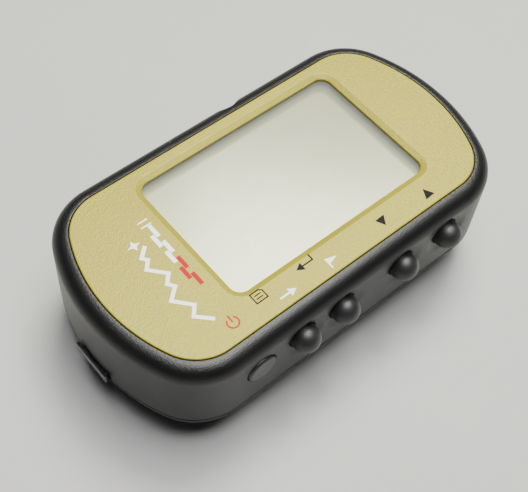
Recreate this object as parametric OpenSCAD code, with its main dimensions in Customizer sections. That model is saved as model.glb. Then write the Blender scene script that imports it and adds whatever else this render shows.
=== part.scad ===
// Handheld satellite navigation receiver, worn on the wrist or carried.
// The unit lies on its back: +Z points out of the screen, the push buttons are on the -Y side,
// and the origin is on the resting face, below the middle of the faceplate.

/* [Body] */
// Length of the faceplate, between its two round ends
plate_l = 68.4; // [66:0.1:84]
// Width of the faceplate
plate_w = 34.4; // [32:0.1:44]
// Radius of the faceplate's round ends
end_r = 30.1; // [26:0.1:36]
// Radius of the faceplate's corners
corner_r = 8; // [5:0.1:10]
// Height of the whole unit, from the resting face to the faceplate
body_h = 22.9; // [22.6:0.1:30]
// Width of the black rim around the faceplate
rim_w = 2.9; // [2.5:0.1:4]
// Radius of the rim's soft shoulder
shoulder_r = 2.7; // [1.5:0.1:2.7]
// Radius of the lower edge of the side wall
hem_r = 2.2; // [1:0.1:2.4]
// Thickness of the case walls
wall = 1.8; // [1.4:0.1:2.2]
// Height of the case's flat underside above the resting face
deck_z = 5.9; // [5:0.1:6.5]
// Thickness of the floor of the rear case
floor_t = 1.5; // [1.2:0.1:1.8]
// Height of the joint line above the resting face
split_z = 8.2; // [8.1:0.1:9]
// Thickness of the deck under the faceplate
web_t = 1.6; // [1.2:0.1:2]
// Clearance between fixed pieces
gap = 0.15; // [0.1:0.01:0.3]

/* [Faceplate and display] */
// Thickness of the faceplate
plate_t = 0.9; // [0.6:0.1:1.5]
// Length of the window
window_l = 39.9; // [30:0.1:41]
// Width of the window
window_w = 25.4; // [20:0.1:26]
// Corner radius of the window
window_r = 2; // [1:0.1:4]
// Window centre, along the case
window_x = 2.4; // [0:0.1:4]
// Window centre, across the case
window_y = 1.7; // [0:0.1:2]
// Width of the sloped border around the window
flare_w = 1.1; // [0.5:0.1:1.3]
// Depth of the sloped border
flare_d = 0.5; // [0.2:0.1:0.6]
// Width of lens that the faceplate covers on each side
lens_lap = 1.85; // [1:0.05:2.2]
// Thickness of the lens
lens_t = 0.8; // [0.6:0.1:1]
// Thickness of the lens gasket
seal_t = 0.25; // [0.2:0.05:0.4]
// Thickness of the display glass
lcd_t = 1.6; // [1.2:0.1:2]
// Thickness of the light guide
guide_t = 1.1; // [0.8:0.1:1.4]
// Wall of the frame that holds the display
frame_wall = 1.2; // [0.8:0.1:1.5]

/* [Board] */
// Thickness of the main board
board_t = 0.8; // [0.6:0.1:1]
// Free height between the board and the display frame
board_gap = 1.9; // [1.9:0.1:3]
// Distance that the board's edge lies inside the faceplate's outline
board_inset = 0.8; // [0.6:0.1:1.5]

/* [Buttons] */
// Places of the four round buttons along the case
dome_x = [-11.5, -3.3, 9.6, 19.7]; // [-14:0.1:22]
// Distance of the power button from the start of the left corner
power_in = 4.1; // [3.3:0.1:4.5]
// Radius of the round buttons
dome_r = 2.4; // [2:0.05:2.8]
// Distance that the round buttons stand out of the case
dome_out = 2.7; // [1:0.1:3]
// Radius of the power button
power_r = 2.6; // [2:0.05:2.8]
// Distance that the power button stands out
power_out = 0.4; // [0.1:0.05:1]
// Travel of every button
travel = 0.6; // [0.3:0.05:0.8]
// Clearance around a button
key_gap = 0.15; // [0.1:0.01:0.3]
// Radius of the shallow dish around a round button
dish_r = 4.2; // [3:0.1:4.5]
// Depth of the dish
dish_d = 0.7; // [0.3:0.05:0.9]

/* [Batteries and door] */
// Diameter of a cell
cell_d = 10.5; // [10:0.1:10.5]
// Length of a cell with its nub
cell_l = 44.5; // [44:0.1:45]
// Thickness of the battery door
door_t = 1.5; // [1.2:0.1:1.8]
// Thickness of the door's gasket
door_seal = 0.55; // [0.4:0.05:0.7]
// Gap around the battery door
door_gap = 0.2; // [0.15:0.01:0.3]
// Radius of the hinge rib that the door hooks over
rib_r = 0.7; // [0.6:0.05:0.8]
// Running clearance of the hooks on the rib
hook_gap = 0.05; // [0.03:0.01:0.08]
// Width of a hook
hook_w = 4; // [3:0.1:5]
// Half the distance between the hooks' centres
hook_y = 7; // [6:0.1:9]
// Width of the latch's blade
latch_w = 6.4; // [5:0.1:7]
// Width of the latch's thumb tab
tab_w = 8; // [7:0.1:10]

/* [Strap bars] */
// Radius of the strap bar's tube
bar_r = 0.75; // [0.6:0.05:0.9]
// Height of the bar above the resting face
bar_z = 3.4; // [2.2:0.1:3.6]
// Clear length of bar between the lugs
bar_clear = 18.8; // [14:0.1:22]
// Thickness of a lug
lug_t = 2; // [1.5:0.1:2.5]
// Room for the strap between the bar and the battery bulge
strap_gap = 1.6; // [1.4:0.1:2.2]

/* [Port] */
// Place of the port along the case
port_x = 5.3; // [0:0.1:10]
// Width of the port's cover
cover_w = 14; // [12:0.1:16]
// Height of the port's cover
cover_h = 7.6; // [7:0.1:7.8]
// Thickness of the port's cover
cover_t = 1; // [0.8:0.05:1.1]
// Radius of the finger scallop in the rim above the port
scallop_r = 3.6; // [3:0.1:4]

/* [Hidden] */
$fn = 64;

// Outline of the faceplate: two straight sides, four corner arcs and two end arcs, all tangent
half_l = plate_l/2;
half_w = plate_w/2;
corner_y = half_w - corner_r;
end_x = half_l - end_r;
corner_x = end_x + sqrt(pow(end_r - corner_r, 2) - pow(corner_y, 2));
blend_a = atan2(corner_y, corner_x - end_x);
end_steps = 14;
corner_steps = 10;
round_steps = 7;

// Small allowances, and the walls round the small parts
step = 0.1;
slack = 0.05;
part_gap = 0.4;
key_rise = 0.8;
shaft_wall = 0.8;
joint_lap = 0.8;
rib_reach = 0.4;
port_wall = 0.4;

// Heights, from the faceplate down
rim_z = body_h - step;
web_z = body_h - plate_t - web_t;
lens_z = body_h - plate_t - lens_t - step/2;
ledge_z = lens_z - seal_t;
lcd_top = web_z - step;
guide_top = lcd_top - lcd_t;
frame_floor = 0.3;
frame_z = guide_top - guide_t - frame_floor;
board_top = frame_z - board_gap;
board_z = board_top - board_t;

// Display sizes, from the window
ledge_lap = 0.65;
lens_l = window_l + 2*lens_lap;
lens_w = window_w + 2*lens_lap;
lcd_l = lens_l - 0.6;
lcd_w = lens_w - 0.6;
frame_l = lcd_l + 2*frame_wall;
frame_w = lcd_w + 2*frame_wall;
flex_x = window_x + frame_l/2 + step;
flex_half = 8;
flex_t = 0.3;
plug_l = 2;
plug_h = 1.2;

// Parts on the board
antenna_s = 11;
antenna_x = window_x - frame_l/2 - part_gap - antenna_s/2;
antenna_h = 4;
patch_t = 0.15;
buzzer_r = 3.2;
buzzer_h = 3;
shield_t = 0.2;
side_parts_x = -17.5;

// Sides of the case
side_y = half_w + rim_w;
inner_y = side_y - wall;
end_out = half_l + rim_w;
inner_e = rim_w - wall;

// Buttons
power_x = -corner_x + power_in;
key_z = board_top + key_rise;
flange_t = 0.6;
flange_r = 3.1;
web_wall = 0.5;
stem_r = 0.7;
switch_l = 4.6;
switch_w = 3;
switch_h = 1.7;
stem_end = inner_y - 3.9;
web_y = inner_y - flange_t - travel - web_wall - 0.25;
dish_sphere = (dish_r*dish_r + dish_d*dish_d)/(2*dish_d);
all_x = concat([power_x], dome_x);

// Battery compartment, from the resting face up
ledge_up = door_t + door_seal + slack;
cell_r = cell_d/2;
cell_z = ledge_up + cell_r;
cell_y = cell_r + 0.2;
room_y = cell_y + cell_r + part_gap;
room_wall = 1;
room_left = -24;
contact_t = 0.4;
spring_l = 2.1;
room_right = room_left + cell_l + 2*contact_t + spring_l;
roof_z = ledge_up + cell_d + 0.2;
roof_t = 1;
post_in = 4;
prop_r = 1.2;
nub_r = 1.9;
nub_l = 0.8;
contact_s = 8.4;

// Door, its hinge and its hook
seal_in = 0.15;
seal_w = 0.95;
door_y = room_y + seal_in + seal_w;
door_right = room_right + seal_in + seal_w + step;
hinge_x = door_right + 2.2;
hook_r = 1.3;
hinge_z = hook_r;
pocket_r = hook_r + 0.3;
post_t = 1.2;
post_x = room_left - seal_in - seal_w - 2.2;
post_top = split_z + 1.5;
post_half = 2.6;
shaft_half = latch_w/2 + 0.2;
shaft_left = post_x - 1.1;
shaft_right = room_left - 1.4;
door_left = post_x - 0.6;

// Bulge that holds the compartment
bulge_round = 0.8;
bulge_left = shaft_left - 0.9;
bulge_right = hinge_x + pocket_r + 0.9;
bulge_half = max(-bulge_left, bulge_right);
bulge_y = room_y + room_wall + 2.1;
bulge_corner = 5;

// Latch
blade_t = 1;
blade_z = split_z - 0.35;
nose_x = post_x - 0.6;
tab_t = 0.5;
tab_h = 1.5;

// Strap bars
bar_x = bulge_half + strap_gap + bar_r;
lug_r = bar_r + 0.55;
tip_r = 0.4;
tip_l = 1.2;

// Port
port_w = 7.7;
port_h = 3.9;
port_d = 6;
tongue_w = 4.4;
tongue_t = 0.9;
port_face = side_y - 1.6;
port_z = board_z - port_h/2;
cover_z = port_z - cover_h/2 + slack;
pivot_z = cover_z + cover_t/2;
recess_gap = 0.1;

// Screws
screw_x = half_l - 2.6;
screw_y = 8.6;
screw_r = 1;
head_r = 1.7;
head_h = 1.3;
post_r = 2.1;

function arc(cx, cy, r, a0, a1, n) =
  [for (i = [0:n]) let (a = a0 + (a1 - a0)*i/n) [cx + r*cos(a), cy + r*sin(a)]];

// Points of the outline, set out by e from the faceplate's edge
function outline_points(e) = concat(
  arc(end_x, 0, end_r + e, -blend_a, blend_a, end_steps),
  arc(corner_x, corner_y, corner_r + e, blend_a, 90, corner_steps),
  arc(-corner_x, corner_y, corner_r + e, 90, 180 - blend_a, corner_steps),
  arc(-end_x, 0, end_r + e, 180 - blend_a, 180 + blend_a, end_steps),
  arc(-corner_x, -corner_y, corner_r + e, 180 + blend_a, 270, corner_steps),
  arc(corner_x, -corner_y, corner_r + e, 270, 360 - blend_a, corner_steps));

// Points of a rounded rectangle
function box_points(l, w, r) = concat(
  arc(l/2 - r, w/2 - r, r, 0, 90, corner_steps),
  arc(r - l/2, w/2 - r, r, 90, 180, corner_steps),
  arc(r - l/2, r - w/2, r, 180, 270, corner_steps),
  arc(l/2 - r, r - w/2, r, 270, 360, corner_steps));

function no_repeats(p) = [for (i = [0:len(p) - 1]) if (norm(p[i] - p[(i + 1)%len(p)]) > 0.001) p[i]];

function at_height(p, z) = [for (q = no_repeats(p)) [q[0], q[1], z]];

// Closed solid through a stack of rings that have the same number of points
module loft(rings) {
  n = len(rings[0]);
  m = len(rings);
  bottom = [for (i = [0:n - 1]) i];
  top = [for (i = [n - 1:-1:0]) (m - 1)*n + i];
  sides = [for (k = [0:m - 2], i = [0:n - 1])
    [k*n + i, (k + 1)*n + i, (k + 1)*n + (i + 1)%n, k*n + (i + 1)%n]];
  polyhedron([for (r = rings) each r], concat([bottom, top], sides), convexity = 4);
}

// The same outline as a flat shape with true arcs
module outline(e = 0) {
  square([2*corner_x, 2*(half_w + e)], center = true);
  for (sx = [-1, 1], sy = [-1, 1])
    translate([sx*corner_x, sy*corner_y])
      circle(corner_r + e);
  intersection() {
    for (sx = [-1, 1])
      translate([sx*end_x, 0])
        circle(end_r + e);
    square([2*(half_l + e + 1), 2*(end_r + e)*sin(blend_a)], center = true);
  }
}

module slab(e, z0, z1) {
  translate([0, 0, z0])
    linear_extrude(z1 - z0)
      outline(e);
}

module rounded_rect(l, w, r) {
  square([l - 2*r, w], center = true);
  square([l, w - 2*r], center = true);
  for (sx = [-1, 1], sy = [-1, 1])
    translate([sx*(l/2 - r), sy*(w/2 - r)])
      circle(r);
}

// Rounded block over the window's centre
module window_block(l, w, r, z0, z1) {
  translate([window_x, window_y, z0])
    linear_extrude(z1 - z0)
      rounded_rect(l, w, r);
}

// Box from its low corner to its high corner
module span(low, high) {
  translate(low)
    cube(high - low);
}

// Cylinder along Y, from y0 to y1
module rod_y(x, z, r, y0, y1) {
  translate([x, y0, z])
    rotate([-90, 0, 0])
      cylinder(r = r, h = y1 - y0);
}

// Cylinder along X, from x0 to x1
module rod_x(y, z, r, x0, x1) {
  translate([x0, y, z])
    rotate([0, 90, 0])
      cylinder(r = r, h = x1 - x0);
}

module at_screws() {
  for (sx = [-1, 1], sy = [-1, 1])
    translate([sx*screw_x, sy*screw_y, 0])
      children();
}

// ---- Case ----

module front_case() {
  shoulder = [for (i = [0:round_steps]) let (a = 90*i/round_steps)
    at_height(outline_points(rim_w - shoulder_r*(1 - cos(a))), rim_z - shoulder_r*(1 - sin(a)))];
  post_z = split_z + 0.9;
  color("#2b2b2e") {
    difference() {
      loft(concat([at_height(outline_points(rim_w), split_z)], shoulder));
      slab(inner_e, split_z - 1, web_z);
      slab(gap, body_h - plate_t, body_h + 1);
      window_block(lens_l + 2*gap, lens_w + 2*gap, window_r + lens_lap, ledge_z, body_h);
      window_block(window_l + 2*ledge_lap, window_w + 2*ledge_lap, window_r + ledge_lap, web_z - 1, body_h);
      for (x = dome_x) {
        rod_y(x, key_z, dome_r + key_gap, -side_y - 1, -inner_y + 1);
        translate([x, dish_d - side_y - dish_sphere, key_z])
          sphere(dish_sphere, $fn = 96);
      }
      rod_y(power_x, key_z, power_r + key_gap, -side_y - 1, -inner_y + 1);
      port_recess();
      translate([port_x, side_y + 1.4, body_h - 0.3])
        sphere(scallop_r);
      span([-end_out - 1, -tab_w/2 - gap, split_z - 1],
        [-end_out + wall + 1, tab_w/2 + gap, blade_z + blade_t + gap]);
    }
    at_screws()
      difference() {
        translate([0, 0, post_z])
          cylinder(r = post_r, h = web_z + step - post_z);
        translate([0, 0, post_z - 1])
          cylinder(r = screw_r + slack, h = 8.5);
      }
  }
}

// Recess for the port's cover, and the opening behind it
module port_recess() {
  span([port_x - cover_w/2 - recess_gap, side_y - cover_t - recess_gap, cover_z - recess_gap],
    [port_x + cover_w/2 + recess_gap, side_y + 1, cover_z + cover_h + recess_gap]);
  translate([port_x, side_y, port_z])
    rotate([90, 0, 0])
      linear_extrude(wall + 1)
        rounded_rect(port_w + 0.7, port_h + 0.7, 1);
}

module back_case() {
  hem = [for (i = [0:round_steps]) let (a = 90*i/round_steps)
    at_height(outline_points(rim_w - hem_r*(1 - sin(a))), deck_z + hem_r*(1 - cos(a)))];
  bulge_l = 2*bulge_half;
  bulge = [for (i = [0:3]) let (a = 30*i, inset = bulge_round*(1 - sin(a)))
    at_height(box_points(bulge_l - 2*inset, 2*bulge_y - 2*inset, bulge_corner - inset),
      bulge_round*(1 - cos(a)))];
  seat_left = door_left - door_gap;
  seat_y = door_y + door_gap;
  color("#232326") {
    difference() {
      union() {
        loft(concat(hem, [at_height(outline_points(rim_w), split_z - gap/2)]));
        loft(concat(bulge, [at_height(box_points(bulge_l, 2*bulge_y, bulge_corner), deck_z + floor_t/2)]));
        for (sx = [-1, 1], sy = [-1, 1])
          strap_lug(sx, sy);
      }
      difference() {
        slab(inner_e, deck_z + floor_t, split_z + 1);
        span([room_left - room_wall, -room_y - room_wall, 0],
          [room_right + room_wall, room_y + room_wall, roof_z]);
        at_screws()
          cylinder(r = post_r, h = roof_z);
        latch_housing(shaft_right, split_z + 1);
      }
      difference() {
        slab(rim_w - 0.5, split_z - joint_lap, split_z + 1);
        slab(rim_w - 1.1, split_z - 1, split_z + 1);
      }
      span([room_left, -room_y, -1], [room_right, room_y, roof_z]);
      span([seat_left, -seat_y, -1], [hinge_x - pocket_r, seat_y, ledge_up]);
      for (sy = [-1, 1])
        span([hinge_x - pocket_r - step, sy*hook_y - hook_w/2 - 0.3, -1],
          [hinge_x + pocket_r, sy*hook_y + hook_w/2 + 0.3, hinge_z + pocket_r]);
      latch_space();
      at_screws() {
        cylinder(r = screw_r + gap, h = roof_z);
        cylinder(r = head_r + 0.2, h = deck_z + head_h + step);
      }
    }
    difference() {
      span([room_left - room_wall, -room_y - room_wall, deck_z + floor_t - step],
        [room_right + room_wall, room_y + room_wall, roof_z + roof_t]);
      span([room_left, -room_y, 0], [room_right, room_y, roof_z]);
    }
    difference() {
      latch_housing(room_left - room_wall + step, post_top + 0.9);
      latch_space();
    }
    at_screws()
      difference() {
        translate([0, 0, deck_z + head_h + step])
          cylinder(r = post_r, h = split_z + joint_lap - deck_z - head_h - step);
        cylinder(r = screw_r + gap, h = roof_z);
      }
    for (x = [room_left + post_in, room_right - post_in], sy = [-1, 1])
      translate([x, sy*(room_y - 2), roof_z + roof_t - step])
        cylinder(r = prop_r, h = board_z - roof_z - roof_t + step);
    for (sy = [-1, 1])
      rod_y(hinge_x, hinge_z, rib_r, sy*hook_y - hook_w/2 - rib_reach, sy*hook_y + hook_w/2 + rib_reach);
  }
}

// Housing around the latch's blade and the door's hook
module latch_housing(right, top) {
  span([shaft_left - shaft_wall, -shaft_half - shaft_wall, deck_z + floor_t - step],
    [right, shaft_half + shaft_wall, top]);
  span([-half_l - inner_e + 1, -shaft_half - shaft_wall, deck_z + floor_t - step],
    [right, shaft_half + shaft_wall, top]);
}

// Space for the latch's blade and for the door's hook
module latch_space() {
  span([-end_out - 1, -shaft_half, blade_z - gap], [shaft_left + step, shaft_half, blade_z + blade_t + gap]);
  span([shaft_left, -shaft_half, -1], [shaft_right, shaft_half, post_top + part_gap]);
  span([-end_out - 1, -tab_w/2 - gap, blade_z - gap], [-end_out + wall, tab_w/2 + gap, split_z + 1]);
}

module strap_lug(sx, sy) {
  low_y = sy*(bar_clear + lug_t)/2 - lug_t/2;
  difference() {
    union() {
      rod_y(sx*bar_x, bar_z, lug_r, low_y, low_y + lug_t);
      span([sx*bar_x - lug_r, low_y, bar_z], [sx*bar_x + lug_r, low_y + lug_t, deck_z + floor_t - 0.4]);
    }
    rod_y(sx*bar_x, bar_z, tip_r + hook_gap, -bar_clear/2 - tip_l - step, bar_clear/2 + tip_l + step);
  }
}

module case_gasket() {
  color("#3a3a3a")
    difference() {
      slab(rim_w - 0.55, split_z - 0.75, split_z);
      slab(rim_w - 1.05, split_z - 1, split_z + 1);
      span([-end_out - 1, -tab_w/2 - 0.5, split_z - 2], [-end_out + wall + 1, tab_w/2 + 0.5, split_z + 1]);
    }
}

module case_screws() {
  color("silver")
    at_screws()
      difference() {
        union() {
          translate([0, 0, deck_z + step])
            cylinder(r = head_r, h = head_h);
          translate([0, 0, deck_z + step])
            cylinder(r = screw_r, h = head_h + 8);
        }
        for (a = [0, 90])
          rotate(a)
            translate([0, 0, deck_z])
              cube([2.2, 0.5, 1.2], center = true);
      }
}

// ---- Faceplate and display ----

// Sloped border that widens the window towards the front
module window_flare() {
  low = body_h - flare_d;
  grow = flare_w/flare_d;
  top = flare_d + step;
  x0 = window_l/2 - window_r;
  y0 = window_w/2 - window_r;
  translate([window_x, window_y, low]) {
    for (sx = [-1, 1], sy = [-1, 1])
      translate([sx*x0, sy*y0, 0])
        cylinder(r1 = window_r, r2 = window_r + grow*top, h = top);
    rotate([90, 0, 0])
      linear_extrude(2*y0, center = true)
        wedge(window_l/2, grow*top, top);
    rotate([90, 0, 90])
      linear_extrude(2*x0, center = true)
        wedge(window_w/2, grow*top, top);
  }
}

module wedge(half, out, h) {
  polygon([[-half, 0], [half, 0], [half + out, h], [-half - out, h]]);
}

module faceplate() {
  color("#b9ae78")
    difference() {
      slab(0, body_h - plate_t, body_h);
      window_block(window_l, window_w, window_r, body_h - plate_t - 1, body_h + 1);
      window_flare();
    }
}

module display_lens() {
  color([0.85, 0.88, 0.78, 0.4])
    window_block(lens_l, lens_w, window_r + lens_lap - gap, lens_z, lens_z + lens_t);
}

module lens_gasket() {
  color("#202020")
    difference() {
      window_block(lens_l, lens_w, window_r + lens_lap - gap, ledge_z, lens_z);
      window_block(window_l + 2*ledge_lap + 0.2, window_w + 2*ledge_lap + 0.2, window_r + ledge_lap + 0.1,
        ledge_z - 1, lens_z + 1);
    }
}

module lcd_panel() {
  color("#b9bfa3")
    window_block(lcd_l, lcd_w, 0.5, guide_top, lcd_top);
}

module lcd_frame() {
  color("#e9e9e4")
    difference() {
      window_block(frame_l, frame_w, 1, frame_z, lcd_top);
      window_block(lcd_l + 2*step, lcd_w + 2*step, 0.6, frame_z + frame_floor, lcd_top + 1);
    }
}

module light_guide() {
  color([0.95, 0.97, 0.9, 0.7])
    window_block(lcd_l, lcd_w, 0.5, frame_z + frame_floor, guide_top);
}

module lcd_flex() {
  color("#c98a3a")
    span([flex_x, window_y - flex_half, board_top + plug_h],
      [flex_x + flex_t, window_y + flex_half, guide_top]);
}

module lcd_connector() {
  color("#efe9d8")
    span([flex_x - step, window_y - flex_half - 1, board_top],
      [flex_x + plug_l, window_y + flex_half + 1, board_top + plug_h]);
}

// ---- Board ----

module main_board() {
  color("#1f6b45")
    difference() {
      slab(-board_inset, board_z, board_top);
      at_screws()
        cylinder(r = post_r + part_gap, h = body_h);
    }
}

module on_board(x, y, l, w, h) {
  translate([x - l/2, y - w/2, board_top])
    cube([l, w, h]);
}

module rf_shield() {
  color("silver")
    difference() {
      on_board(-6, 1, 14, 16, 1.6);
      translate([0, 0, -shield_t])
        on_board(-6, 1, 14 - 2*shield_t, 16 - 2*shield_t, 1.6);
    }
}

module board_chips() {
  color("#26282b") {
    on_board(9, 2, 12, 12, 1.1);
    on_board(19.5, 6, 6, 8, 0.9);
    on_board(20, -4.5, 4, 4, 0.9);
    on_board(-15.5, 12.5, 3, 3, 1);
    on_board(4.5, -8.5, 5, 3.2, 1.2);
    on_board(26, -11, 3.2, 3.2, 1);
  }
}

module gps_antenna() {
  color("#cdbf9d") {
    on_board(antenna_x, 0, antenna_s, antenna_s, antenna_h);
    translate([antenna_x, 0, board_top + antenna_h])
      linear_extrude(patch_t)
        rounded_rect(antenna_s - 2.4, antenna_s - 2.4, 0.5);
  }
}

module pressure_sensor() {
  color("#b8bcc0")
    translate([side_parts_x, 8, board_top]) {
      cylinder(r = 1.6, h = 1.1);
      cylinder(r = 1, h = 1.6);
    }
}

module buzzer() {
  color("#18191b")
    translate([flex_x + plug_l + buzzer_r + part_gap, 0, board_top])
      difference() {
        cylinder(r = buzzer_r, h = buzzer_h);
        translate([0, 0, buzzer_h - 0.6])
          cylinder(r = 1, h = 1);
      }
}

module backup_cell() {
  color("#d5d7d8")
    translate([side_parts_x, -7.5, board_top]) {
      cylinder(r = 2.4, h = 1.1);
      cylinder(r = 2, h = 1.4);
    }
}

module tactile_switches() {
  color("#3b3d40")
    for (x = all_x)
      span([x - switch_l/2, -stem_end + travel + 0.1, board_top],
        [x + switch_l/2, -stem_end + travel + 0.1 + switch_w, board_top + switch_h]);
}

module keypad_web() {
  color("#4a4a4d")
    difference() {
      span([power_x - 3.4, -web_y - web_wall, board_top + slack], [dome_x[3] + 3.4, -web_y, board_top + 4]);
      for (x = all_x)
        rod_y(x, key_z, stem_r + 0.07, -side_y, 0);
    }
}

// ---- Buttons ----

// Flange behind the wall and the stem that reaches the switch
module key_back(x) {
  rod_y(x, key_z, flange_r, -inner_y + slack, -inner_y + slack + flange_t);
  rod_y(x, key_z, stem_r, -inner_y, -stem_end);
}

module dome_key(x) {
  tip = side_y + dome_out;
  color("#343538") {
    rod_y(x, key_z, dome_r, -tip + dome_r, -inner_y + step);
    translate([x, -tip + dome_r, key_z])
      sphere(dome_r);
    key_back(x);
  }
}

module power_button() {
  soft = 0.5;
  color("#303134") {
    translate([power_x, -inner_y + step, key_z])
      rotate([90, 0, 0])
        rotate_extrude()
          key_profile(power_r, side_y - inner_y + step + power_out, soft);
    key_back(power_x);
  }
}

// Half section of a round key with a rounded edge
module key_profile(r, h, soft) {
  square([r - soft, h]);
  square([r, h - soft]);
  intersection() {
    translate([r - soft, h - soft])
      circle(soft);
    square([r, h]);
  }
}

module page_button() { dome_key(dome_x[0]); }

module enter_button() { dome_key(dome_x[1]); }

module down_button() { dome_key(dome_x[2]); }

module up_button() { dome_key(dome_x[3]); }

// ---- Port ----

module usb_socket() {
  color("#c4c7ca")
    difference() {
      span([port_x - port_w/2, port_face - port_d, board_z - port_h],
        [port_x + port_w/2, port_face, board_z]);
      span([port_x - port_w/2 + port_wall, port_face - port_d + 0.6, board_z - port_h + port_wall],
        [port_x + port_w/2 - port_wall, port_face + 1, board_z - port_wall]);
    }
  color("#1c1c1c")
    span([port_x - tongue_w/2, port_face - port_d + 0.5, port_z - tongue_t/2],
      [port_x + tongue_w/2, port_face - 1, port_z + tongue_t/2]);
}

module usb_cover() {
  soft = 0.9;
  plug_w = 6.4;
  plug_h = 2.6;
  low = port_x - cover_w/2;
  high = port_x + cover_w/2;
  mid_y = side_y - cover_t/2;
  color("#29292c") {
    rod_x(mid_y, pivot_z, cover_t/2, low, high);
    difference() {
      span([low, side_y - cover_t, pivot_z], [high, side_y, cover_z + cover_h]);
      for (s = [-1, 1])
        translate([port_x + s*(cover_w/2 - soft), 0, cover_z + cover_h - soft])
          difference() {
            span([s > 0 ? 0 : -soft - 1, side_y - 2, 0], [s > 0 ? soft + 1 : 0, side_y + 1, soft + 1]);
            rod_y(0, 0, soft, side_y - 3, side_y + 2);
          }
      rod_y(port_x, cover_z + cover_h + 0.6, 1.8, side_y - 0.35, side_y + 1);
    }
    span([port_x - plug_w/2, side_y - cover_t - 0.5, port_z - plug_h/2],
      [port_x + plug_w/2, side_y - cover_t + step, port_z + plug_h/2]);
  }
}

// ---- Batteries and door ----

// One cell, drawn with its nub towards +X and its nub's face at x = 0
module cell() {
  body_l = cell_l - nub_l;
  rod_x(0, 0, cell_r, -cell_l, -cell_l + body_l);
  rod_x(0, 0, nub_r, -nub_l - step, 0);
}

module battery_a() {
  color("#6f7a52")
    translate([room_right - contact_t - slack, cell_y, cell_z])
      cell();
}

module battery_b() {
  color("#6f7a52")
    translate([room_left + contact_t + slack, -cell_y, cell_z])
      mirror([1, 0, 0])
        cell();
}

module contact_plate(x, y) {
  span([x, y - contact_s/2, cell_z - contact_s/2], [x + contact_t, y + contact_s/2, cell_z + contact_s/2]);
}

// Tapered coil on its plate, growing along +X from x = 0
module contact_spring(y) {
  wire_r = 0.3;
  contact_plate(0, y);
  for (i = [0:2])
    translate([contact_t + 0.27 + 0.52*i, y, cell_z])
      rotate([0, 90, 0])
        rotate_extrude($fn = 48)
          translate([3.1 - 0.25*i, 0])
            circle(wire_r, $fn = 24);
}

module spring_contacts() {
  color("#d8d8d2") {
    translate([room_left, 0, 0])
      contact_spring(cell_y);
    translate([room_right, 0, 0])
      mirror([1, 0, 0])
        contact_spring(-cell_y);
  }
}

module plate_contacts() {
  color("#d8d8d2") {
    contact_plate(room_right - contact_t, cell_y);
    contact_plate(room_left, -cell_y);
  }
}

module battery_door() {
  notch_z = blade_z - slack;
  color("#26262a") {
    difference() {
      union() {
        translate([(door_left + door_right)/2, 0, 0])
          linear_extrude(door_t)
            rounded_rect(door_right - door_left, 2*door_y, 1);
        for (sy = [-1, 1])
          span([door_right - 1, sy*hook_y - hook_w/2, 0], [hinge_x, sy*hook_y + hook_w/2, door_t]);
        for (sy = [-1, 1])
          rod_y(hinge_x, hinge_z, hook_r, sy*hook_y - hook_w/2, sy*hook_y + hook_w/2);
        span([post_x, -post_half, door_t - step], [post_x + post_t, post_half, post_top]);
      }
      for (sy = [-1, 1]) {
        rod_y(hinge_x, hinge_z, rib_r + hook_gap, sy*hook_y - hook_w, sy*hook_y + hook_w);
        span([hinge_x, sy*hook_y - hook_w, hinge_z + 0.2], [hinge_x + 2, sy*hook_y + hook_w, hinge_z + 2]);
      }
      span([post_x - 1, -post_half - 1, notch_z], [post_x + 0.5, post_half + 1, notch_z + 1.3]);
      for (i = [-2:2])
        span([door_left + 2 + 1.4*(i + 2), -5, -1], [door_left + 2.6 + 1.4*(i + 2), 5, 0.3]);
    }
  }
}

module door_gasket() {
  color("#6b2f2a")
    difference() {
      span([room_left - seal_in - seal_w, -door_y, door_t + slack],
        [room_right + seal_in + seal_w, door_y, ledge_up]);
      span([room_left - seal_in, -room_y - seal_in, 0],
        [room_right + seal_in, room_y + seal_in, body_h]);
    }
}

module door_latch() {
  tab_x = -end_out - gap;
  color("#111113") {
    span([tab_x - step, -latch_w/2, blade_z], [nose_x, latch_w/2, blade_z + blade_t]);
    difference() {
      span([tab_x - tab_t, -tab_w/2, blade_z], [tab_x, tab_w/2, blade_z + tab_h]);
      for (s = [-1, 1])
        translate([tab_x - tab_t, s*tab_w/2, blade_z - 1])
          cylinder(r = 0.4, h = tab_h + 2);
    }
  }
}

// ---- Strap bars ----

module strap_bar(sx) {
  color("#b9bcc0") {
    rod_y(sx*bar_x, bar_z, bar_r, -bar_clear/2 + 0.2, bar_clear/2 - 0.2);
    rod_y(sx*bar_x, bar_z, tip_r, -bar_clear/2 - tip_l, bar_clear/2 + tip_l);
  }
}

module strap_bar_left() { strap_bar(-1); }

module strap_bar_right() { strap_bar(1); }

front_case();
back_case();
faceplate();
display_lens();
lens_gasket();
lcd_panel();
lcd_frame();
light_guide();
lcd_flex();
lcd_connector();
main_board();
rf_shield();
board_chips();
gps_antenna();
pressure_sensor();
buzzer();
backup_cell();
tactile_switches();
keypad_web();
power_button();
page_button();
enter_button();
down_button();
up_button();
usb_socket();
usb_cover();
case_gasket();
case_screws();
battery_a();
battery_b();
spring_contacts();
plate_contacts();
battery_door();
door_gasket();
door_latch();
strap_bar_left();
strap_bar_right();
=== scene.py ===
import math

import bmesh
import bpy
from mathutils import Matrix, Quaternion, Vector


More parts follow.
